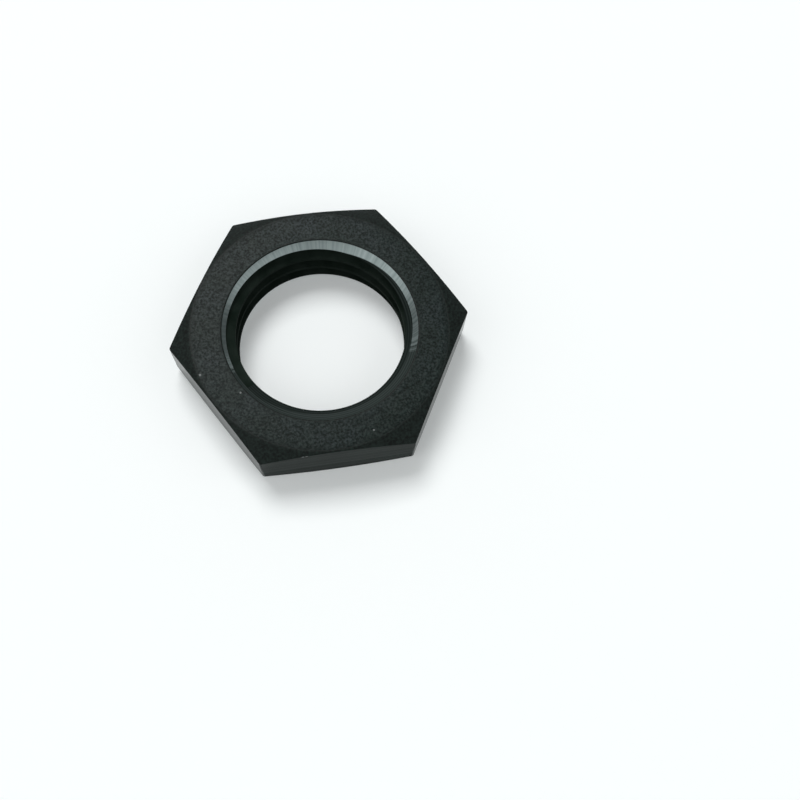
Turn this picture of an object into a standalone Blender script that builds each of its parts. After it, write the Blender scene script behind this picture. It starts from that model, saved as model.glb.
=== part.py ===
"""Ring nut: a thin hexagon nut with a large threaded bore, lying on its flat face.

Metres, +Z up. The origin is the centre of the bottom face, the bore runs along Z,
and a corner of the hexagon points along +X.
"""

import math

import bmesh
import bpy
from mathutils import Matrix, Vector

# Driving dimensions, in metres and degrees.
THREAD_DIAMETER = 0.0160  # across the roots of the thread
WALL_AT_FLATS = 0.0030  # from the roots of the thread out to the middle of a flat
THICKNESS = 0.0050  # face to face
CORNER_ROUNDING = 0.00025  # radius of the six upright corners
FACE_SETBACK = 0.0001  # from the middle of a flat in to the edge of the turned face
CORNER_CHAMFER_ANGLE = 20.0  # slope of the turned corners, down from the face
THREAD_PITCH = 0.0015  # rise in one turn, right-handed
THREAD_START = 0.0009  # height of the lowest whole root where it passes +X
COUNTERSINK_LIP = 0.0003  # from the roots of the thread out to the countersink's mouth
COUNTERSINK_ANGLE = 120.0  # included angle of the countersink in each face

# The spanner size follows from the thread and the wall round it.
ACROSS_FLATS = THREAD_DIAMETER + 2.0 * WALL_AT_FLATS

# Proportions of a metric thread, as shares of its pitch.
THREAD_DEPTH = 0.625 * math.sqrt(3.0) / 2.0  # root to crest
CREST_WIDTH = 1.0 / 4.0
ROOT_WIDTH = 1.0 / 8.0

# Fineness of the facets, and how far a cutting shape reaches into the air.
TURNED_STEPS = 96
THREAD_STEPS = 72
CORNER_STEPS = 3
SMOOTH_ANGLE = 25.0
CUT_MARGIN = 0.0010
MERGE_DISTANCE = 0.000001

# Finish of the blackened steel.
STEEL_COLOUR = (0.030, 0.035, 0.035, 1.0)
STEEL_ROUGHNESS = 0.55
STEEL_METALLIC = 0.0


def clear_scene():
    """Takes every object out of the open file."""
    for item in list(bpy.data.objects):
        bpy.data.objects.remove(item)


def make_collection(name):
    """A new collection in the scene."""
    collection = bpy.data.collections.new(name)
    bpy.context.scene.collection.children.link(collection)
    return collection


def make_object(name, work, collection):
    """Turns a bmesh into a named object and frees the bmesh."""
    mesh = bpy.data.meshes.new(name)
    work.to_mesh(mesh)
    work.free()
    item = bpy.data.objects.new(name, mesh)
    collection.objects.link(item)
    return item


def make_cutter(name, work, collection):
    """An object that only shapes another: shown as wires and left out of renders."""
    cutter = make_object(name, work, collection)
    cutter.hide_render = True
    cutter.display_type = "WIRE"
    return cutter


def draw_outline(work, points):
    """Draws an open outline of (radius, height) points in the XZ plane."""
    corners = [work.verts.new((radius, 0.0, height)) for radius, height in points]
    return [work.edges.new(pair) for pair in zip(corners, corners[1:])]


def hexagon_blank(collection):
    """A slice of hexagon bar with its upright corners rounded and its bottom face at height 0."""
    work = bmesh.new()
    corner_reach = ACROSS_FLATS / math.sqrt(3.0)
    bmesh.ops.create_cone(
        work,
        cap_ends=True,
        segments=6,
        radius1=corner_reach,
        radius2=corner_reach,
        depth=THICKNESS,
        matrix=Matrix.Translation((0.0, 0.0, THICKNESS / 2.0)) @ Matrix.Rotation(math.radians(30.0), 4, "Z"),
    )
    uprights = [edge for edge in work.edges if edge.verts[0].co.xy == edge.verts[1].co.xy]
    bmesh.ops.bevel(
        work,
        geom=uprights,
        offset=CORNER_ROUNDING * math.tan(math.radians(30.0)),
        offset_type="OFFSET",
        affect="EDGES",
        segments=CORNER_STEPS,
        profile=0.5,
        material=-1,
    )
    return make_object("ring_nut", work, collection)


def chamfer_envelope(collection):
    """A turned double cone that leaves the faces flat and slopes down over the corners."""
    slope = math.tan(math.radians(CORNER_CHAMFER_ANGLE))
    face_radius = ACROSS_FLATS / 2.0 - FACE_SETBACK
    reach = ACROSS_FLATS / math.sqrt(3.0) + CUT_MARGIN
    drop = (reach - face_radius) * slope
    peak = face_radius * slope
    work = bmesh.new()
    draw_outline(
        work,
        [(0.0, THICKNESS + peak), (reach, THICKNESS - drop), (reach, drop), (0.0, -peak)],
    )
    envelope = make_cutter("corner_chamfers", work, collection)
    turning = envelope.modifiers.new("turning", "SCREW")
    turning.steps = TURNED_STEPS
    turning.render_steps = TURNED_STEPS
    turning.use_merge_vertices = True
    turning.merge_threshold = MERGE_DISTANCE
    return envelope


def countersink(collection, name, face_height, outward):
    """A cone that opens towards the air: outward is 1 at the top face and -1 at the bottom face."""
    spread = math.tan(math.radians(COUNTERSINK_ANGLE / 2.0))
    mouth_radius = THREAD_DIAMETER / 2.0 + COUNTERSINK_LIP
    wide_radius = mouth_radius + CUT_MARGIN * spread
    cone_height = wide_radius / spread
    centre = face_height + outward * (CUT_MARGIN - cone_height / 2.0)
    work = bmesh.new()
    bmesh.ops.create_cone(
        work,
        cap_ends=True,
        segments=TURNED_STEPS,
        radius1=wide_radius if outward < 0.0 else 0.0,
        radius2=wide_radius if outward > 0.0 else 0.0,
        depth=cone_height,
        matrix=Matrix.Translation((0.0, 0.0, centre)),
    )
    return make_cutter(name, work, collection)


def thread_tap(collection):
    """A solid of the shape that the thread leaves free, a little longer than the nut is thick."""
    root_radius = THREAD_DIAMETER / 2.0
    crest_radius = root_radius - THREAD_DEPTH * THREAD_PITCH
    half_root = ROOT_WIDTH * THREAD_PITCH / 2.0
    half_opening = (1.0 - CREST_WIDTH) * THREAD_PITCH / 2.0
    lowest, highest = -CUT_MARGIN, THICKNESS + CUT_MARGIN
    turns_below = math.ceil((THREAD_START - lowest) / THREAD_PITCH) + 1
    turns = turns_below + math.ceil((highest - THREAD_START) / THREAD_PITCH) + 1
    start = THREAD_START - turns_below * THREAD_PITCH
    work = bmesh.new()
    one_pitch = draw_outline(
        work,
        [
            (crest_radius, start - half_opening),
            (root_radius, start - half_root),
            (root_radius, start + half_root),
            (crest_radius, start + half_opening),
            (crest_radius, start + THREAD_PITCH - half_opening),
        ],
    )
    bmesh.ops.spin(
        work,
        geom=one_pitch + list(work.verts),
        cent=Vector(),
        axis=(0.0, 0.0, 1.0),
        dvec=(0.0, 0.0, THREAD_PITCH / THREAD_STEPS),
        angle=math.tau * turns,
        steps=THREAD_STEPS * turns,
    )
    bmesh.ops.remove_doubles(work, verts=work.verts, dist=MERGE_DISTANCE)
    for height, upward in ((lowest, -1.0), (highest, 1.0)):
        bmesh.ops.bisect_plane(
            work,
            geom=list(work.verts) + list(work.edges) + list(work.faces),
            dist=MERGE_DISTANCE / 10.0,
            plane_co=(0.0, 0.0, height),
            plane_no=(0.0, 0.0, upward),
            clear_outer=True,
        )
    rims = [edge for edge in work.edges if edge.is_boundary]
    bmesh.ops.holes_fill(work, edges=rims, sides=0)
    bmesh.ops.recalc_face_normals(work, faces=work.faces)
    return make_cutter("thread_tap", work, collection)


def shape_with(item, tool, operation):
    """Adds one exact Boolean that trims or cuts the object."""
    boolean = item.modifiers.new(tool.name, "BOOLEAN")
    boolean.operation = operation
    boolean.object = tool


def settle(item):
    """Makes the shaped result the object's own mesh, smooth on its round surfaces only."""
    weld = item.modifiers.new("doubled_points", "WELD")
    weld.merge_threshold = MERGE_DISTANCE
    shaped = item.evaluated_get(bpy.context.evaluated_depsgraph_get())
    mesh = bpy.data.meshes.new_from_object(shaped)
    mesh.name = item.name
    item.modifiers.clear()
    item.data = mesh
    mesh.shade_smooth()
    mesh.set_sharp_from_angle(angle=math.radians(SMOOTH_ANGLE))


def blackened_steel():
    """The nut's material."""
    material = bpy.data.materials.new("blackened_steel")
    material.use_nodes = True
    surface = material.node_tree.nodes["Principled BSDF"]
    surface.inputs["Base Color"].default_value = STEEL_COLOUR
    surface.inputs["Roughness"].default_value = STEEL_ROUGHNESS
    surface.inputs["Metallic"].default_value = STEEL_METALLIC
    return material


def build():
    """Cuts the nut from the bar: corners first, then the thread, then both countersinks."""
    clear_scene()
    parts = make_collection("ring_nut")
    tools = make_collection("cutting_shapes")
    nut = hexagon_blank(parts)
    shape_with(nut, chamfer_envelope(tools), "INTERSECT")
    shape_with(nut, thread_tap(tools), "DIFFERENCE")
    shape_with(nut, countersink(tools, "top_countersink", THICKNESS, 1), "DIFFERENCE")
    shape_with(nut, countersink(tools, "bottom_countersink", 0.0, -1), "DIFFERENCE")
    settle(nut)
    nut.data.materials.clear()
    nut.data.materials.append(blackened_steel())


build()
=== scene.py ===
# %% [markdown]
# Ring nut: the looks
#
# A ring nut is a thin hexagon nut with a large bore. This one is steel with a thin black coating.
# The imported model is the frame: it gives the nut's place and its outer sizes, in metres, with the
# bottom face at height 0 and the bore along Z. This script builds the surface that the eye sees
# around it, gives each worked surface its own finish, and sets up a plain pale stage.

# %% Load the frame
import math

import bmesh
import bpy
from mathutils import Matrix, Quaternion, Vector


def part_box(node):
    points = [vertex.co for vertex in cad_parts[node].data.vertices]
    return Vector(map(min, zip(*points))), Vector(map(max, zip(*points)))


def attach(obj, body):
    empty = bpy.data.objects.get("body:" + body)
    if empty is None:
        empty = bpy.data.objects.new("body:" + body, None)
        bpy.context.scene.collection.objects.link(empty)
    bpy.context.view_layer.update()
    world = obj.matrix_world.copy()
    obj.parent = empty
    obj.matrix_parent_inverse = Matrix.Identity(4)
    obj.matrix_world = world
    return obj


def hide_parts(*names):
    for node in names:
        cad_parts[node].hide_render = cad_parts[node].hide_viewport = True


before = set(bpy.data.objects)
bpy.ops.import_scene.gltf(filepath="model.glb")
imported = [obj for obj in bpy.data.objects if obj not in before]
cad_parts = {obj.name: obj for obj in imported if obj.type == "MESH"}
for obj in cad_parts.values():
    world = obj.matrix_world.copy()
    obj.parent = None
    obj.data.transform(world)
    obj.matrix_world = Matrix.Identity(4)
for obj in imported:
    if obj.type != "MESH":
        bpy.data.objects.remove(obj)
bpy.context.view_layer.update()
nut_low, nut_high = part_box("ring_nut")
MM = 0.001
across_flats = nut_high.y - nut_low.y
thickness = nut_high.z - nut_low.z
print("across flats", round(across_flats / MM, 3), "mm, thickness", round(thickness / MM, 3), "mm")

# %% [markdown]
# Sizes that the outer box can't give
#
# The box knows the spanner size and the thickness. The rest is the nut's own drawing: the thread,
# the countersink in each face and the turned corners. They repeat the values of the solid, so the
# surface lies on it. Only the small roundings of the edges are new here.

# %% Sizes of the nut
THREAD_DIAMETER = 16.0 * MM  # across the roots of the thread
THREAD_PITCH = 1.5 * MM
THREAD_START = 0.9 * MM  # height of the lowest whole root where it passes +X
THREAD_DEPTH = 0.625 * math.sqrt(3.0) / 2.0 * THREAD_PITCH
COUNTERSINK_LIP = 0.3 * MM  # from the roots of the thread out to the countersink's mouth
COUNTERSINK_ANGLE = math.radians(120.0)
FACE_SETBACK = 0.1 * MM  # from the middle of a flat in to the edge of the turned face
CORNER_CHAMFER_ANGLE = math.radians(20.0)
CORNER_ROUNDING = 0.25 * MM
FLANK_ANGLE = math.radians(30.0)  # between a flank of the thread and the level
HALF_SIDE = math.radians(30.0)  # half of the angle that one flat takes up round the axis

root_radius = THREAD_DIAMETER / 2.0
crest_radius = root_radius - THREAD_DEPTH
mouth_radius = root_radius + COUNTERSINK_LIP
face_radius = across_flats / 2.0 - FACE_SETBACK
corner_reach = across_flats / math.sqrt(3.0)
countersink_depth = (mouth_radius - crest_radius) / math.tan(COUNTERSINK_ANGLE / 2.0)
print("crest radius", round(crest_radius / MM, 3), "mm")
print("countersink", round(countersink_depth / MM, 3), "mm deep")

# %% [markdown]
# Helpers for turned and milled shapes
#
# Most of a nut comes off a lathe, so most of it is an outline spun about an axis. The outline is a
# loop of points in the XZ plane. Rounding a corner of the outline before it is spun gives a smooth
# rounded edge all the way round, which costs far less than rounding the finished solid.

# %% Outline helpers
JOIN_DISTANCE = 0.0005 * MM  # points nearer than this are joined
PLANE_DISTANCE = 0.00005 * MM  # points nearer than this to a cutting plane lie on it


def draw_outline(work, points, closed):
    """Adds (radius, height) points joined by edges and returns the points."""
    corners = [work.verts.new((radius, 0.0, height)) for radius, height in points]
    ends = corners[1:] + corners[:1] if closed else corners[1:]
    for pair in zip(corners, ends):
        work.edges.new(pair)
    return corners


def round_off(work, parts, affect, reach, segments):
    """Rounds corners of an outline or edges of a solid, starting that far to either side."""
    bmesh.ops.bevel(
        work,
        geom=parts,
        offset=reach,
        offset_type="OFFSET",
        affect=affect,
        segments=segments,
        profile=0.5,
        material=-1,
    )


def make_object(name, work):
    """Turns a bmesh into an object in the scene and frees the bmesh."""
    mesh = bpy.data.meshes.new(name)
    work.to_mesh(mesh)
    work.free()
    item = bpy.data.objects.new(name, mesh)
    bpy.context.scene.collection.objects.link(item)
    return item


def cut_with(work, name, tool, operation):
    """Runs one Boolean on a bmesh and gives back the result as a new bmesh."""
    item = make_object(name, work)
    boolean = item.modifiers.new(tool.name, "BOOLEAN")
    boolean.operation = operation
    boolean.object = tool
    shaped = item.evaluated_get(bpy.context.evaluated_depsgraph_get())
    result = bmesh.new()
    result.from_mesh(shaped.to_mesh())
    bpy.data.objects.remove(item)
    bpy.data.objects.remove(tool)
    bmesh.ops.remove_doubles(result, verts=result.verts, dist=JOIN_DISTANCE)
    return result


# %% [markdown]
# One finish for each tool
#
# Each tool leaves its own finish behind, so each face of the mesh carries the number of a finish
# from the moment it is made. A Boolean keeps the numbers of both of its shapes, so the flats take
# theirs from the hexagon bar and the thread takes its own from the tap.

# %% Name the finishes
FINISHES = ["coated_face", "turned_corner", "drawn_flat", "countersink", "black_thread"]
FACE, CORNER, FLAT, SINK, THREAD = range(len(FINISHES))


def give_finish(work, number):
    """Gives every face of a bmesh one finish."""
    for face in work.faces:
        face.material_index = number


print("finishes:", FINISHES)

# %% [markdown]
# The turned ring
#
# On the real nut, one tool faces the ring, another turns the corners down at a shallow angle, and
# a third opens the bore with a countersink. All of that is one closed outline, spun by a full turn.
# Its outside reaches past the corners of the hexagon, because the flats are cut next.

# %% Spin the ring
RING_STEPS = 288
FACE_EDGE_ROUNDING = 0.12 * MM
MOUTH_ROUNDING = 0.08 * MM
BORE_EDGE_ROUNDING = 0.03 * MM
RING_MARGIN = 0.8 * MM

ring_reach = corner_reach + RING_MARGIN
corner_drop = (ring_reach - face_radius) * math.tan(CORNER_CHAMFER_ANGLE)
ring = bmesh.new()
section = draw_outline(
    ring,
    [
        (mouth_radius, thickness),
        (face_radius, thickness),
        (ring_reach, thickness - corner_drop),
        (ring_reach, corner_drop),
        (face_radius, 0.0),
        (mouth_radius, 0.0),
        (crest_radius, countersink_depth),
        (crest_radius, thickness - countersink_depth),
    ],
    closed=True,
)
round_off(ring, [section[1], section[4]], "VERTICES", FACE_EDGE_ROUNDING, segments=4)
round_off(ring, [section[0], section[5]], "VERTICES", MOUTH_ROUNDING, segments=3)
round_off(ring, [section[6], section[7]], "VERTICES", BORE_EDGE_ROUNDING, segments=2)
bmesh.ops.spin(
    ring,
    geom=list(ring.verts) + list(ring.edges),
    cent=Vector(),
    axis=(0.0, 0.0, 1.0),
    angle=math.tau,
    steps=RING_STEPS,
    use_merge=True,
)
bmesh.ops.recalc_face_normals(ring, faces=ring.faces)

# %% [markdown]
# The slope of a ring's face tells which tool cut it. Level faces are the two coated ones, and what
# slopes further out is a turned corner. Further in there is the countersink, the little rounding
# of its mouth, which is as dark as a corner, and the steep crests, which belong to the thread.

# %% Finishes of the ring
LEVEL = 0.5  # degrees: a face that slopes less is level
SLOPE_TOLERANCE = 5.0  # degrees: a face this near to the countersink's slope is part of it


def slope(face):
    """Angle between a face and the level, in degrees."""
    return math.degrees(math.acos(min(1.0, abs(face.normal.z))))


sink_slope = 90.0 - math.degrees(COUNTERSINK_ANGLE) / 2.0
for face in ring.faces:
    if slope(face) < LEVEL:
        face.material_index = FACE
    elif face.calc_center_median().xy.length > mouth_radius + MOUTH_ROUNDING:
        face.material_index = CORNER
    elif slope(face) < sink_slope - SLOPE_TOLERANCE:
        face.material_index = CORNER
    else:
        face.material_index = SINK if slope(face) < sink_slope + SLOPE_TOLERANCE else THREAD
print("turned ring:", len(ring.faces), "faces")

# %% [markdown]
# The hexagon bar
#
# The nut starts as a slice of drawn hexagon bar, whose six long corners are slightly rounded. A
# cone with six sides and equal ends is such a bar. It is turned so that a corner points along +X,
# and it stands past both faces, so that no two faces of the cut lie in one plane.

# %% Cut the flats
BAR_OVERHANG = 1.0 * MM
CORNER_STEPS = 8
FLAT_EDGE_ROUNDING = 0.05 * MM

middle = Matrix.Translation((0.0, 0.0, thickness / 2.0))
corner_along_x = Matrix.Rotation(HALF_SIDE, 4, "Z")
bar = bmesh.new()
bmesh.ops.create_cone(
    bar,
    cap_ends=True,
    segments=6,
    radius1=corner_reach,
    radius2=corner_reach,
    depth=thickness + 2.0 * BAR_OVERHANG,
    matrix=middle @ corner_along_x,
)
bar_corners = [edge for edge in bar.edges if edge.verts[0].co.xy == edge.verts[1].co.xy]
round_off(bar, bar_corners, "EDGES", CORNER_ROUNDING * math.tan(HALF_SIDE), CORNER_STEPS)
give_finish(bar, FLAT)
blank = cut_with(ring, "blank", make_object("hexagon_bar", bar), "INTERSECT")

flat_edges = []
for edge in blank.edges:
    if [face.material_index for face in edge.link_faces].count(FLAT) == 1:
        flat_edges.append(edge)
round_off(blank, flat_edges, "EDGES", FLAT_EDGE_ROUNDING, segments=3)
print("hexagon blank:", len(flat_edges), "edges rounded,", len(blank.faces), "faces")

# %% [markdown]
# The thread
#
# A tap cuts the thread: a groove with 60 degree flanks and a slightly rounded root that climbs one
# pitch in each turn. The tap is modelled as one pitch of its outline, swept round and up with spin.
# The groove runs out of both countersinks by itself, as it does on the real nut.

# %% Cut the thread
THREAD_STEPS = 180
CORE_CLEARANCE = 0.12 * MM  # from the crests in to the core of the tap
TAP_OVERHANG = 1.0 * MM
ROOT_SHARE = 1.0 / 8.0  # of the pitch that the flat root takes
ROOT_ROUNDING = 0.09 * MM

core_radius = crest_radius - CORE_CLEARANCE
half_root = ROOT_SHARE * THREAD_PITCH / 2.0
half_groove = half_root + (root_radius - core_radius) * math.tan(FLANK_ANGLE)
lowest = -TAP_OVERHANG
highest = thickness + TAP_OVERHANG
turns_below = math.ceil((THREAD_START - lowest) / THREAD_PITCH) + 1
turns = turns_below + math.ceil((highest - THREAD_START) / THREAD_PITCH) + 1
start = THREAD_START - turns_below * THREAD_PITCH

tap = bmesh.new()
groove = draw_outline(
    tap,
    [
        (core_radius, start - half_groove),
        (root_radius, start - half_root),
        (root_radius, start + half_root),
        (core_radius, start + half_groove),
        (core_radius, start - half_groove + THREAD_PITCH),
    ],
    closed=False,
)
round_off(tap, groove[1:3], "VERTICES", ROOT_ROUNDING, segments=2)
bmesh.ops.spin(
    tap,
    geom=list(tap.verts) + list(tap.edges),
    cent=Vector(),
    axis=(0.0, 0.0, 1.0),
    dvec=(0.0, 0.0, THREAD_PITCH / THREAD_STEPS),
    angle=math.tau * turns,
    steps=THREAD_STEPS * turns,
)
bmesh.ops.remove_doubles(tap, verts=tap.verts, dist=JOIN_DISTANCE)
for height, upward in ((lowest, -1.0), (highest, 1.0)):
    bmesh.ops.bisect_plane(
        tap,
        geom=list(tap.verts) + list(tap.edges) + list(tap.faces),
        dist=PLANE_DISTANCE,
        plane_co=(0.0, 0.0, height),
        plane_no=(0.0, 0.0, upward),
        clear_outer=True,
    )
bmesh.ops.holes_fill(tap, edges=[edge for edge in tap.edges if edge.is_boundary], sides=0)
bmesh.ops.recalc_face_normals(tap, faces=tap.faces)
give_finish(tap, THREAD)
threaded = cut_with(blank, "threaded_blank", make_object("thread_tap", tap), "DIFFERENCE")
closed = all(edge.is_manifold for edge in threaded.edges)
print("threaded nut:", len(threaded.faces), "faces, closed:", closed)

# %% [markdown]
# Where the groove runs out, its flank is parallel to the countersink and lies just below it. The
# countersink's finish covers that last, shallow bit of the flank.

# %% Finish of the run-out
RUN_OUT_DEPTH = 0.13 * MM


def depth_below_sink(face):
    """How far a face lies below the cone of the nearer countersink."""
    centre = face.calc_center_median()
    from_end = thickness / 2.0 - abs(centre.z - thickness / 2.0)
    return from_end - (mouth_radius - centre.xy.length) / math.tan(COUNTERSINK_ANGLE / 2.0)


run_out = []
for face in threaded.faces:
    outwards = face.normal.z * (face.calc_center_median().z - thickness / 2.0) > 0.0
    parallel = abs(slope(face) - sink_slope) < SLOPE_TOLERANCE
    shallow = depth_below_sink(face) < RUN_OUT_DEPTH
    if face.material_index == THREAD and outwards and parallel and shallow:
        face.material_index = SINK
        run_out.append(face)
print("run-out:", len(run_out), "faces")

# %% [markdown]
# Smooth shading is right for the turned surfaces, but not across the sharp edges that the tools
# leave, so edges above an angle are marked sharp. Each point takes its normal from the largest face
# beside it, so the flats and the faces stay flat up to their rounded edges. The surface then rides
# the frame's root and takes the place of the imported nut.

# %% The dressed nut
SHARP_ANGLE = math.radians(32.0)

nut = make_object("ring_nut_surface", threaded)
nut.data.shade_smooth()
nut.data.set_sharp_from_angle(angle=SHARP_ANGLE)
flatten = nut.modifiers.new("flat_to_the_edges", "WEIGHTED_NORMAL")
flatten.mode = "FACE_AREA"
flatten.weight = 50
flatten.keep_sharp = True
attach(nut, "root")
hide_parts("ring_nut")
print("dressed nut:", len(nut.data.polygons), "faces")

# %% [markdown]
# Shader helpers
#
# Several finishes share an effect, so each effect is a node group: built once, placed in each
# material with its own values. The groups read Object coordinates in metres, so a grain of 0.1 mm
# stays 0.1 mm on every surface. They put out masks and heights, and the shader stays outside.


# %% Node helpers
def add_node(tree, kind, **settings):
    """Adds a node and sets its own properties, such as operation or blend_type."""
    made = tree.nodes.new(kind)
    for name, value in settings.items():
        setattr(made, name, value)
    return made


def feed(tree, target, source):
    """Gives a socket a link or a plain value."""
    if isinstance(source, bpy.types.NodeSocket):
        tree.links.new(source, target)
    else:
        target.default_value = source


def calculate(tree, operation, first, second=0.0):
    """One Math node."""
    made = add_node(tree, "ShaderNodeMath", operation=operation)
    feed(tree, made.inputs[0], first)
    feed(tree, made.inputs[1], second)
    return made.outputs[0]


def calculate_vector(tree, operation, first, second, output="Vector"):
    """One Vector Math node."""
    made = add_node(tree, "ShaderNodeVectorMath", operation=operation)
    feed(tree, made.inputs[0], first)
    feed(tree, made.inputs[1], second)
    return made.outputs[output]


def stretch(tree, value, low, high, to_low=0.0, to_high=1.0):
    """Maps a value from one range to another and stops at its ends."""
    made = add_node(tree, "ShaderNodeMapRange")
    feed(tree, made.inputs["Value"], value)
    feed(tree, made.inputs["From Min"], low)
    feed(tree, made.inputs["From Max"], high)
    feed(tree, made.inputs["To Min"], to_low)
    feed(tree, made.inputs["To Max"], to_high)
    return made.outputs["Result"]


def blend_colours(tree, share, first, second):
    """Mixes two colours by a share from 0 to 1."""
    made = add_node(tree, "ShaderNodeMix", data_type="RGBA")
    feed(tree, made.inputs["Factor"], share)
    feed(tree, made.inputs["A"], first)
    feed(tree, made.inputs["B"], second)
    return made.outputs["Result"]


def noise(tree, place, scale, detail=2.0, roughness=0.5):
    """One Noise Texture, as a value from 0 to 1."""
    made = add_node(tree, "ShaderNodeTexNoise")
    feed(tree, made.inputs["Vector"], place)
    feed(tree, made.inputs["Scale"], scale)
    feed(tree, made.inputs["Detail"], detail)
    feed(tree, made.inputs["Roughness"], roughness)
    return made.outputs["Fac"]


def object_place(tree):
    """The place on the object, in metres."""
    return add_node(tree, "ShaderNodeTexCoord").outputs["Object"]


def in_plan(tree, place):
    """The place straight above or below on the level plane."""
    return calculate_vector(tree, "MULTIPLY", place, (1.0, 1.0, 0.0))


def distance_in_plan(tree, place):
    """Distance from the axis of the bore."""
    return calculate_vector(tree, "DISTANCE", in_plan(tree, place), (0.0, 0.0, 0.0), "Value")


def curve_round_axis(tree, place, radii, low, high):
    """A radius that changes with the direction from the axis and stays between low and high."""
    parts = add_node(tree, "ShaderNodeSeparateXYZ")
    feed(tree, parts.inputs[0], place)
    turn = calculate(tree, "ARCTAN2", parts.outputs["Y"], parts.outputs["X"])
    curve = add_node(tree, "ShaderNodeFloatCurve")
    points = curve.mapping.curves[0].points
    while len(points) < len(radii):
        points.new(0.5, 0.5)
    for point, (direction, radius) in zip(points, radii.items()):
        point.location = (direction / 360.0 + 0.5, (radius * MM - low) / (high - low))
        point.handle_type = "VECTOR"
    curve.mapping.update()
    feed(tree, curve.inputs["Value"], stretch(tree, turn, -math.pi, math.pi))
    return stretch(tree, curve.outputs[0], 0.0, 1.0, low, high)


def new_group(name, inputs, output):
    """An empty node group with float inputs, their starting values and one float output."""
    group = bpy.data.node_groups.new(name, "ShaderNodeTree")
    for label, value in inputs.items():
        socket = group.interface.new_socket(label, in_out="INPUT", socket_type="NodeSocketFloat")
        socket.default_value = value
    group.interface.new_socket(output, in_out="OUTPUT", socket_type="NodeSocketFloat")
    given = add_node(group, "NodeGroupInput").outputs
    return group, given, add_node(group, "NodeGroupOutput").inputs[output]


def place_group(tree, group, **values):
    """Places a group and gives its output. An underscore in a name stands for a space."""
    made = add_node(tree, "ShaderNodeGroup", node_tree=group)
    for name, value in values.items():
        feed(tree, made.inputs[name.replace("_", " ")], value)
    return made.outputs[0]


# %% [markdown]
# Grain, patches and nicks
#
# The coating is a layer of tiny crystals. At arm's length it looks even, and close up it has pale
# specks about a tenth of a millimetre across, and wide patches that are a little lighter or darker.
# Knocks have chipped it in a few places, which shows as a speck of bare steel. A noise seldom gets
# near 0 or 1, so the range that it does fill is stretched to a full mask.

# %% Grain, patches and nicks
SPECK_RANGE = (0.37, 0.65)  # part of the noise that goes from the darkest to the palest speck
NOISE_RANGE = (0.3, 0.7)  # the same for all wider marks
NICK_CORE = 0.25  # radius of the bare middle of a nick, as a share of its size
NICK_RIM = 0.5  # radius where the coating is whole again

grain_group, given, specks = new_group("coating_grain", {"Speck Size": 0.16 * MM}, "Specks")
speck_scale = calculate(grain_group, "DIVIDE", 1.0, given["Speck Size"])
speck_noise = noise(grain_group, object_place(grain_group), speck_scale, detail=3.0, roughness=0.6)
feed(grain_group, specks, stretch(grain_group, speck_noise, *SPECK_RANGE))

patch_group, given, patches = new_group("tone_patches", {"Patch Size": 3.0 * MM}, "Patches")
patch_scale = calculate(patch_group, "DIVIDE", 1.0, given["Patch Size"])
patch_noise = noise(patch_group, object_place(patch_group), patch_scale)
feed(patch_group, patches, stretch(patch_group, patch_noise, *NOISE_RANGE))

nick_inputs = {"X": 0.0, "Y": 0.0, "Z": 0.0, "Size": 0.2 * MM}
nick_group, given, bare_and_painted_light = new_group("nick", nick_inputs, "Bare")
nick_centre = add_node(nick_group, "ShaderNodeCombineXYZ")
for axis in "XYZ":
    feed(nick_group, nick_centre.inputs[axis], given[axis])
place = object_place(nick_group)
from_nick = calculate_vector(nick_group, "DISTANCE", place, nick_centre.outputs[0], "Value")
nick_core = calculate(nick_group, "MULTIPLY", given["Size"], NICK_CORE)
nick_rim = calculate(nick_group, "MULTIPLY", given["Size"], NICK_RIM)
feed(nick_group, bare_and_painted_light, stretch(nick_group, from_nick, nick_core, nick_rim, 1.0, 0.0))
print("groups:", grain_group.name, patch_group.name, nick_group.name)

# %% [markdown]
# Marks of the tools
#
# A turning tool leaves fine rings round the axis: a sine of the distance from the axis. Where the
# countersink chattered, there are streaks across the cut as well: noise that changes fast round the
# axis and hardly at all along the slope, and leans a little to one side. The die that drew the bar
# left long level lines on the flats: noise that changes with height alone.

# %% Rings, streaks and lines
WANDER_SIZE = 1.5 * MM  # how far apart the rings bulge
LENGTHWISE = 0.02  # how little a drawn line changes along its length

ring_inputs = {"Ring Pitch": 0.1 * MM, "Wander": 1.0}
ring_group, given, rings = new_group("turning_rings", ring_inputs, "Rings")
place = object_place(ring_group)
from_axis = distance_in_plan(ring_group, place)
ring_count = calculate(ring_group, "DIVIDE", from_axis, given["Ring Pitch"])
bulge = noise(ring_group, place, 1.0 / WANDER_SIZE)
wander = calculate(ring_group, "MULTIPLY", bulge, given["Wander"])
ring_count = calculate(ring_group, "ADD", ring_count, wander)
ring_angle = calculate(ring_group, "MULTIPLY", ring_count, math.tau)
feed(ring_group, rings, stretch(ring_group, calculate(ring_group, "SINE", ring_angle), -1.0, 1.0))

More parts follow.
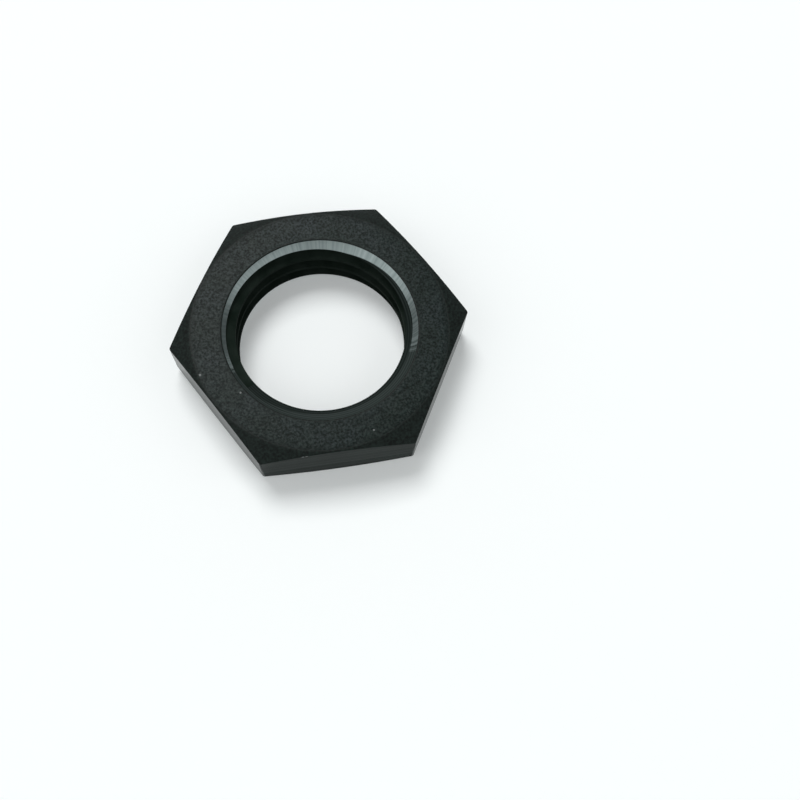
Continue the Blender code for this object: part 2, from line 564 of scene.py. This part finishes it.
streak_inputs = {"Streak Width": 0.2 * MM, "Lean": 0.3}
streak_group, given, streaks = new_group("chatter_streaks", streak_inputs, "Streaks")
place = object_place(streak_group)
around = calculate_vector(streak_group, "NORMALIZE", in_plan(streak_group, place), (0.0, 0.0, 0.0))
from_axis = distance_in_plan(streak_group, place)
ratio = calculate(streak_group, "DIVIDE", from_axis, root_radius)
leaning = add_node(streak_group, "ShaderNodeVectorRotate", rotation_type="Z_AXIS")
feed(streak_group, leaning.inputs["Vector"], around)
short_of_root = calculate(streak_group, "SUBTRACT", 1.0, ratio)
lean_angle = calculate(streak_group, "MULTIPLY", short_of_root, given["Lean"])
feed(streak_group, leaning.inputs["Angle"], lean_angle)
streak_scale = calculate(streak_group, "DIVIDE", root_radius, given["Streak Width"])
streak_noise = noise(streak_group, leaning.outputs[0], streak_scale)
feed(streak_group, streaks, stretch(streak_group, streak_noise, *NOISE_RANGE))

line_group, given, lines = new_group("drawn_lines", {"Line Width": 0.3 * MM}, "Lines")
shares = (LENGTHWISE, LENGTHWISE, 1.0)
squeezed = calculate_vector(line_group, "MULTIPLY", object_place(line_group), shares)
line_scale = calculate(line_group, "DIVIDE", 1.0, given["Line Width"])
line_noise = noise(line_group, squeezed, line_scale)
feed(line_group, lines, stretch(line_group, line_noise, *NOISE_RANGE))
print("groups:", ring_group.name, streak_group.name, line_group.name)

# %% [markdown]
# Finishes
#
# One coating covers the nut, but it lies on surfaces that were worked in different ways, so each
# gets a material of its own. Two helpers start a material and give it its relief, and a third chips
# the coating.

# %% Material helpers
BARE_STEEL = (0.15, 0.16, 0.16, 1.0)


def start_finish(number, metallic, roughness, specular):
    """A material with a Principled shader and plain values, in the nut's slot of that number."""
    material = bpy.data.materials.new(FINISHES[number])
    material.use_nodes = True
    surface = material.node_tree.nodes["Principled BSDF"]
    surface.inputs["Metallic"].default_value = metallic
    surface.inputs["Roughness"].default_value = roughness
    surface.inputs["Specular IOR Level"].default_value = specular
    nut.data.materials.append(material)
    return material.node_tree, surface


def raise_surface(tree, surface, height, depth):
    """Feeds a height from 0 to 1 to a Bump node that is that deep."""
    bump = add_node(tree, "ShaderNodeBump")
    feed(tree, bump.inputs["Height"], height)
    feed(tree, bump.inputs["Distance"], depth)
    feed(tree, surface.inputs["Normal"], bump.outputs["Normal"])


def chip(tree, colour, nicks):
    """Shows bare steel through a colour at each nick."""
    for x, y, z, size in nicks:
        mask = place_group(tree, nick_group, X=x * MM, Y=y * MM, Z=z * MM, Size=size * MM)
        colour = blend_colours(tree, mask, colour, BARE_STEEL)
    return colour


print("bare steel:", BARE_STEEL)

# %% [markdown]
# The two faces are grainy. Their pale specks are a mix of a greenish and a bluish tone, by patches,
# and they stand a few thousandths of a millimetre high and shine a little more than the ground.
# Towards the turned corners the specks fade.

# %% Coated faces
FACE_DARK = (0.0045, 0.0080, 0.0070, 1.0)
FACE_GREENISH = (0.031, 0.048, 0.041, 1.0)
FACE_BLUISH = (0.033, 0.046, 0.048, 1.0)
FACE_SHINE = (0.022, 0.045)  # Specular IOR Level of the ground and of a speck
FACE_RELIEF = 0.006 * MM
PATCH_TONE = (0.45, 0.65)  # strength of the specks in the darkest and in the palest patch
RIM_FADE = 0.5 * MM  # from the turned corner in to where the face is as light as elsewhere
RIM_TONE = 0.4  # strength of the specks at the very edge
# Each nick is given as x, y, z and size in millimetres.
FACE_NICKS = [(-10.29, -2.93, 5.0, 0.26), (-7.18, -4.92, 5.0, 0.2), (3.09, -9.61, 5.0, 0.2)]

tree, surface = start_finish(FACE, metallic=0.0, roughness=0.19, specular=0.035)
specks = place_group(tree, grain_group, Speck_Size=0.19 * MM)
patches = place_group(tree, patch_group, Patch_Size=3.0 * MM)
from_axis = distance_in_plan(tree, object_place(tree))
to_rim = stretch(tree, from_axis, face_radius - RIM_FADE, face_radius, 1.0, RIM_TONE)
strength = calculate(tree, "MULTIPLY", stretch(tree, patches, 0.0, 1.0, *PATCH_TONE), to_rim)
lightness = calculate(tree, "MULTIPLY", specks, strength)
pale = blend_colours(tree, patches, FACE_GREENISH, FACE_BLUISH)
coating = blend_colours(tree, lightness, FACE_DARK, pale)
feed(tree, surface.inputs["Base Color"], chip(tree, coating, FACE_NICKS))
shine = stretch(tree, specks, 0.0, 1.0, *FACE_SHINE)
feed(tree, surface.inputs["Specular IOR Level"], shine)
raise_surface(tree, surface, specks, FACE_RELIEF)
print("finish:", FINISHES[FACE])

# %% [markdown]
# The turned corners were cut after the faces, and they are smoother and darker. The rings of the
# cut are so fine that only the light on them shows.

# %% Turned corners
CORNER_DARK = (0.0025, 0.0042, 0.0036, 1.0)
CORNER_PALE = (0.011, 0.0180, 0.0155, 1.0)
CORNER_RELIEF = 0.002 * MM

tree, surface = start_finish(CORNER, metallic=0.0, roughness=0.5, specular=0.12)
specks = place_group(tree, grain_group, Speck_Size=0.2 * MM)
feed(tree, surface.inputs["Base Color"], blend_colours(tree, specks, CORNER_DARK, CORNER_PALE))
rings = place_group(tree, ring_group, Ring_Pitch=0.16 * MM, Wander=0.3)
raise_surface(tree, surface, rings, CORNER_RELIEF)
print("finish:", FINISHES[CORNER])

# %% [markdown]
# The flats are the skin of the drawn bar, with its long level lines, fine ones in the colour and
# wide ones in the relief. The sheen on them gets weaker towards the side that the nut lies on: this
# is painted shade, for the shadowed floor that the low part of a flat reflects.

# %% Flats of the drawn bar
FLAT_DARK = (0.0085, 0.0135, 0.0115, 1.0)
FLAT_PALE = (0.016, 0.0240, 0.0210, 1.0)
FLAT_SHEEN = (0.0105, 0.0185)  # Specular IOR Level at the bottom and at the top
SHEEN_HEIGHTS = (1.0 * MM, 3.2 * MM)  # where the sheen starts and stops to change
FLAT_RELIEF = 0.012 * MM
FLAT_NICKS = [(-2.85, -11.0, 4.83, 0.30), (-2.55, -11.0, 4.85, 0.26)]

tree, surface = start_finish(FLAT, metallic=0.0, roughness=0.14, specular=0.015)
patches = place_group(tree, patch_group, Patch_Size=4.0 * MM)
fine_lines = place_group(tree, line_group, Line_Width=0.35 * MM)
tone = calculate(tree, "MULTIPLY", calculate(tree, "ADD", patches, fine_lines), 0.5)
coating = blend_colours(tree, tone, FLAT_DARK, FLAT_PALE)
feed(tree, surface.inputs["Base Color"], chip(tree, coating, FLAT_NICKS))
wide_lines = place_group(tree, line_group, Line_Width=1.2 * MM)
raise_surface(tree, surface, wide_lines, FLAT_RELIEF)
sides = add_node(tree, "ShaderNodeSeparateXYZ")
feed(tree, sides.inputs[0], object_place(tree))
# Painted shade: the sheen is made weaker low down, where a flat reflects the shadowed floor.
sheen = stretch(tree, sides.outputs["Z"], *SHEEN_HEIGHTS, *FLAT_SHEEN)
feed(tree, surface.inputs["Specular IOR Level"], sheen)
print("finish:", FINISHES[FLAT])

# %% [markdown]
# The countersink is the one bright surface. Its far side is painted as bright bare steel and its
# near side as dark as the face: painted light and painted shade, for the light from the front that
# the far half reflects. The tool's chatter marks are strongest on the right, where they also lean.
# A dark lip with faint rings lies along the inner edge. It is wide on the right and where the
# thread runs out.

# %% Countersinks
SINK_DARK = (0.200, 0.248, 0.244, 1.0)
SINK_PALE = (0.364, 0.430, 0.428, 1.0)
# Painted shade: the dark colour of the countersink's near side.
SINK_PAINTED_SHADE = (0.036, 0.045, 0.043, 1.0)
LIP_DARK = (0.006, 0.009, 0.008, 1.0)
LIP_PALE = (0.018, 0.025, 0.023, 1.0)
LEAN_SPAN = (0.85 * root_radius, 1.05 * root_radius)  # where to the right the streaks start to lean
LEAN = (0.03, 0.8)
CONTRAST_SPAN = (0.5 * root_radius, 0.95 * root_radius)  # where to the right the streaks get strong
CONTRAST = (0.3, 0.5)  # half of the span of tones
PAINTED_LIGHT_SPAN = (-0.32 * root_radius, -0.08 * root_radius)  # where, going away, the painted light of bare steel takes over
RAGGED = 0.15 * root_radius  # how far the streaks carry that edge to and fro
SINK_RELIEF = 0.012 * MM
LIP_EDGE = 0.04 * MM  # how gradually the dark lip ends
# Outer radius of the dark lip in millimetres, by the direction from the axis in degrees.
LIP_RADII = {
    -180: 7.40,
    -160: 8.00,
    -143: 7.98,
    -120: 7.70,
    -100: 7.58,
    -75: 7.55,
    -35: 7.62,
    0: 7.78,
    30: 7.71,
    60: 7.52,
    90: 7.40,
    180: 7.40,
}

tree, surface = start_finish(SINK, metallic=1.0, roughness=0.28, specular=0.04)
place = object_place(tree)
sides = add_node(tree, "ShaderNodeSeparateXYZ")
feed(tree, sides.inputs[0], place)
lean = stretch(tree, sides.outputs["X"], *LEAN_SPAN, *LEAN)
contrast = stretch(tree, sides.outputs["X"], *CONTRAST_SPAN, *CONTRAST)
streaks = place_group(tree, streak_group, Streak_Width=0.22 * MM, Lean=lean)
# Painted light and shade: towards the far side the countersink turns to bright bare steel, towards
# the near side it stays dark.
ragged = calculate(tree, "ADD", sides.outputs["Y"], calculate(tree, "MULTIPLY", streaks, RAGGED))
bare_and_painted_light = stretch(tree, ragged, *PAINTED_LIGHT_SPAN)
darkest = calculate(tree, "SUBTRACT", 0.5, contrast)
palest = calculate(tree, "ADD", 0.5, contrast)
cut_tone = stretch(tree, streaks, 0.0, 1.0, darkest, palest)
cut_colour = blend_colours(tree, cut_tone, SINK_DARK, SINK_PALE)
rings = place_group(tree, ring_group, Ring_Pitch=0.2 * MM, Wander=0.2)
painted_shade_colour = blend_colours(tree, rings, LIP_PALE, SINK_PAINTED_SHADE)
outer_colour = blend_colours(tree, bare_and_painted_light, painted_shade_colour, cut_colour)
lip_colour = blend_colours(tree, rings, LIP_DARK, LIP_PALE)
lip_radius = curve_round_axis(tree, place, LIP_RADII, crest_radius, mouth_radius)
from_lip = calculate(tree, "SUBTRACT", distance_in_plan(tree, place), lip_radius)
past_lip = stretch(tree, from_lip, 0.0, LIP_EDGE)
feed(tree, surface.inputs["Base Color"], blend_colours(tree, past_lip, lip_colour, outer_colour))
feed(tree, surface.inputs["Metallic"], calculate(tree, "MULTIPLY", past_lip, bare_and_painted_light))
raise_surface(tree, surface, streaks, calculate(tree, "MULTIPLY", contrast, SINK_RELIEF))
print("finish:", FINISHES[SINK])

# %% [markdown]
# The thread is smooth and deep black, with hardly any shine.

# %% Thread
THREAD_BLACK = (0.007, 0.012, 0.009, 1.0)
THREAD_PALE = (0.015, 0.022, 0.018, 1.0)

tree, surface = start_finish(THREAD, metallic=0.0, roughness=0.6, specular=0.01)
patches = place_group(tree, patch_group, Patch_Size=1.5 * MM)
feed(tree, surface.inputs["Base Color"], blend_colours(tree, patches, THREAD_BLACK, THREAD_PALE))
print("finish:", FINISHES[THREAD])

# %% [markdown]
# The stage
#
# A plain pale floor, like a sheet of white paper, takes the nut's soft shadow. It lies a hair below
# the bottom face, so the two never share a plane. Paper in a bright picture glows a little even in
# shadow, so the camera, and whatever reflects the paper, sees it a little lighter than its colour.

# %% Floor
FLOOR_SIZE = 1.6
FLOOR_DROP = 0.005 * MM
PAPER_COLOUR = (0.765, 0.79, 0.79, 1.0)
PAPER_GLOW_COLOUR = (0.96, 1.0, 1.0, 1.0)
PAPER_GLOW = 0.21
PAPER_ROUGHNESS = 0.8
PAPER_SPECULAR = 0.1

floor_mesh = bmesh.new()
bmesh.ops.create_grid(
    floor_mesh,
    x_segments=1,
    y_segments=1,
    size=FLOOR_SIZE / 2.0,
    matrix=Matrix.Translation((0.0, 0.0, -FLOOR_DROP)),
)
floor = make_object("paper_floor", floor_mesh)
paper = bpy.data.materials.new("white_paper")
paper.use_nodes = True
tree = paper.node_tree
surface = tree.nodes["Principled BSDF"]
surface.inputs["Base Color"].default_value = PAPER_COLOUR
surface.inputs["Roughness"].default_value = PAPER_ROUGHNESS
surface.inputs["Specular IOR Level"].default_value = PAPER_SPECULAR
surface.inputs["Emission Color"].default_value = PAPER_GLOW_COLOUR
path = add_node(tree, "ShaderNodeLightPath").outputs
mirrored = calculate(tree, "MAXIMUM", path["Is Glossy Ray"], path["Is Transmission Ray"])
seen = calculate(tree, "MAXIMUM", path["Is Camera Ray"], mirrored)
feed(tree, surface.inputs["Emission Strength"], calculate(tree, "MULTIPLY", seen, PAPER_GLOW))
floor.data.materials.append(paper)
print("floor", FLOOR_SIZE, "m across")

# %% [markdown]
# Light
#
# The main light is a soft lamp behind the nut and high above it, so the shadow stays short and
# falls towards the camera and into the far side of the bore. Three dimmer lamps stand round the
# camera's side, where the far half of the countersink looks. Each lamp is given by the angle that
# it fills and by its share of the light on the level floor, so its distance doesn't change the
# look.

# %% Lamps
LAMP_DISTANCE = 2.4


def direction(azimuth, elevation):
    """The way from the nut to something. Azimuth 0 is the camera's side, -Y, and +X is at 90."""
    around = math.radians(azimuth)
    above = math.radians(elevation)
    level = math.cos(above)
    return Vector((math.sin(around) * level, -math.cos(around) * level, math.sin(above)))


def add_lamp(name, azimuth, elevation, width, share):
    """A square area lamp that looks at the nut, with its width in degrees."""
    towards = direction(azimuth, elevation)
    light = bpy.data.lights.new(name, "AREA")
    light.size = 2.0 * LAMP_DISTANCE * math.tan(math.radians(width) / 2.0)
    light.energy = share * 4.0 * math.pi * LAMP_DISTANCE**2 / towards.z
    lamp = bpy.data.objects.new(name, light)
    lamp.location = towards * LAMP_DISTANCE
    lamp.rotation_mode = "QUATERNION"
    lamp.rotation_quaternion = towards.to_track_quat("Z", "Y")
    bpy.context.scene.collection.objects.link(lamp)


add_lamp("window_light", azimuth=-167.0, elevation=61.0, width=25.0, share=0.48)
add_lamp("left_light", azimuth=-73.0, elevation=44.0, width=49.0, share=0.12)
add_lamp("front_light", azimuth=6.0, elevation=50.0, width=39.0, share=0.056)
add_lamp("right_light", azimuth=66.0, elevation=41.0, width=42.0, share=0.064)

# %% [markdown]
# The world is dim overhead and pale along the horizon. The pale part is the background of a low
# view, and it also stands for the bright walls of a room.

# %% World
WORLD_COLOUR = (0.97, 1.0, 1.0, 1.0)
HORIZON_LIGHT = 0.95
SKY_LIGHT = 0.12
GLOW_FADE = (0.2, 0.38)  # heights of a direction, as its Z, where the glow starts to fade and ends

world = bpy.data.worlds.new("studio")
world.use_nodes = True
sky = world.node_tree
sky.nodes["Background"].inputs["Color"].default_value = WORLD_COLOUR
look = add_node(sky, "ShaderNodeSeparateXYZ")
feed(sky, look.inputs[0], add_node(sky, "ShaderNodeTexCoord").outputs["Generated"])
glow = stretch(sky, look.outputs["Z"], *GLOW_FADE, HORIZON_LIGHT, SKY_LIGHT)
feed(sky, sky.nodes["Background"].inputs["Strength"], glow)
bpy.context.scene.world = world
bpy.context.scene.view_settings.view_transform = "Standard"
print("world:", world.name)

# %% [markdown]
# Camera
#
# The camera stands close, about 8 cm away and 70 degrees up, and looks at a point beside the nut.
# These values come from fitting a camera to the hexagon and to the round edges in the picture.

# %% Camera
CAMERA_AIM = Vector((6.103, -5.623, 0.0)) * MM
CAMERA_DISTANCE = 81.910 * MM
CAMERA_AZIMUTH = -16.597
CAMERA_ELEVATION = 70.068
CAMERA_ROLL = math.radians(8.056)
CAMERA_LENS = 42.106
SENSOR_WIDTH = 36.0

back = direction(CAMERA_AZIMUTH, CAMERA_ELEVATION)
lens = bpy.data.cameras.new("camera")
lens.lens = CAMERA_LENS
lens.sensor_width = SENSOR_WIDTH
lens.clip_start = 1.0 * MM
lens.clip_end = 10.0
camera = bpy.data.objects.new("camera", lens)
camera.location = CAMERA_AIM + back * CAMERA_DISTANCE
camera.rotation_mode = "QUATERNION"
roll = Quaternion((0.0, 0.0, 1.0), CAMERA_ROLL)
camera.rotation_quaternion = (-back).to_track_quat("-Z", "Y") @ roll
bpy.context.scene.collection.objects.link(camera)
bpy.context.scene.camera = camera
print("camera at", [round(value / MM, 2) for value in camera.location], "mm")
